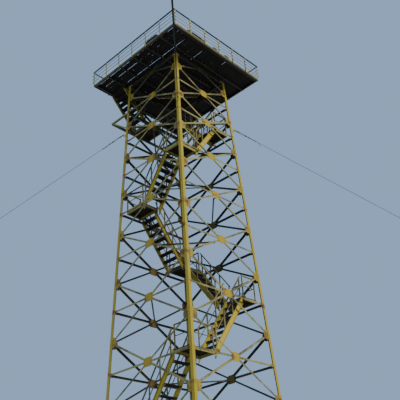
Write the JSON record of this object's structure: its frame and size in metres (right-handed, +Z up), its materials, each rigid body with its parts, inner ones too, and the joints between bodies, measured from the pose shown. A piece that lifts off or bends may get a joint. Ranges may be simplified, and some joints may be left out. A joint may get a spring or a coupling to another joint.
{
  "type": "fire lookout tower",
  "caption": "Steel lattice fire lookout tower with angle legs, stairs winding inside, an open railed deck of boards and ground-anchored stays.",
  "frame": {"origin": "on the ground under the tower's vertical axis, level with the feet of the pedestals", "axes": "+Z up; the sides of the tower face -Y (front), +X (right), +Y (back, with the outside landing) and -X (left)"},
  "size_m": [39.8, 39.8, 22.85],
  "materials": {
    "yellow_paint": "satin",
    "dark_boards": "matte",
    "dark_paint": "satin",
    "galvanised_steel": "satin",
    "concrete": "matte"
  },
  "bodies": {
    "root": {"anchor_blocks": "concrete", "back_bracing": "yellow_paint", "bottom_handrails": "yellow_paint", "bottom_treads": "dark_boards", "deck_boards": "dark_boards", "deck_fascia": "yellow_paint", "deck_joists": "yellow_paint", "deck_mid_rails": "yellow_paint", "deck_rail_posts": "yellow_paint", "deck_top_rail": "dark_paint", "flight_01_stringers": "yellow_paint", "flight_02_stringers": "yellow_paint", "flight_03_stringers": "yellow_paint", "flight_04_stringers": "yellow_paint", "flight_05_stringers": "yellow_paint", "flight_06_stringers": "yellow_paint", "flight_07_stringers": "yellow_paint", "flight_08_stringers": "yellow_paint", "flight_09_stringers": "yellow_paint", "flight_10_stringers": "yellow_paint", "footing_pedestals": "concrete", "front_bracing": "yellow_paint", "landing_boards": "dark_boards", "landing_frames": "yellow_paint", "landing_rails": "yellow_paint", "left_bracing": "yellow_paint", "leg_back_left": "yellow_paint", "leg_back_right": "yellow_paint", "leg_base_plates": "yellow_paint", "leg_front_left": "yellow_paint", "leg_front_right": "yellow_paint", "leg_gussets": "yellow_paint", "middle_gussets": "yellow_paint", "middle_handrails": "yellow_paint", "middle_treads": "dark_boards", "outer_landing_bracket": "yellow_paint", "plan_braces": "yellow_paint", "right_bracing": "yellow_paint", "stair_hatch": "dark_boards", "stay_cables": "galvanised_steel", "stay_fittings": "galvanised_steel", "top_frame": "yellow_paint", "top_handrails": "yellow_paint", "top_treads": "dark_boards"}
  },
  "joints": []
}
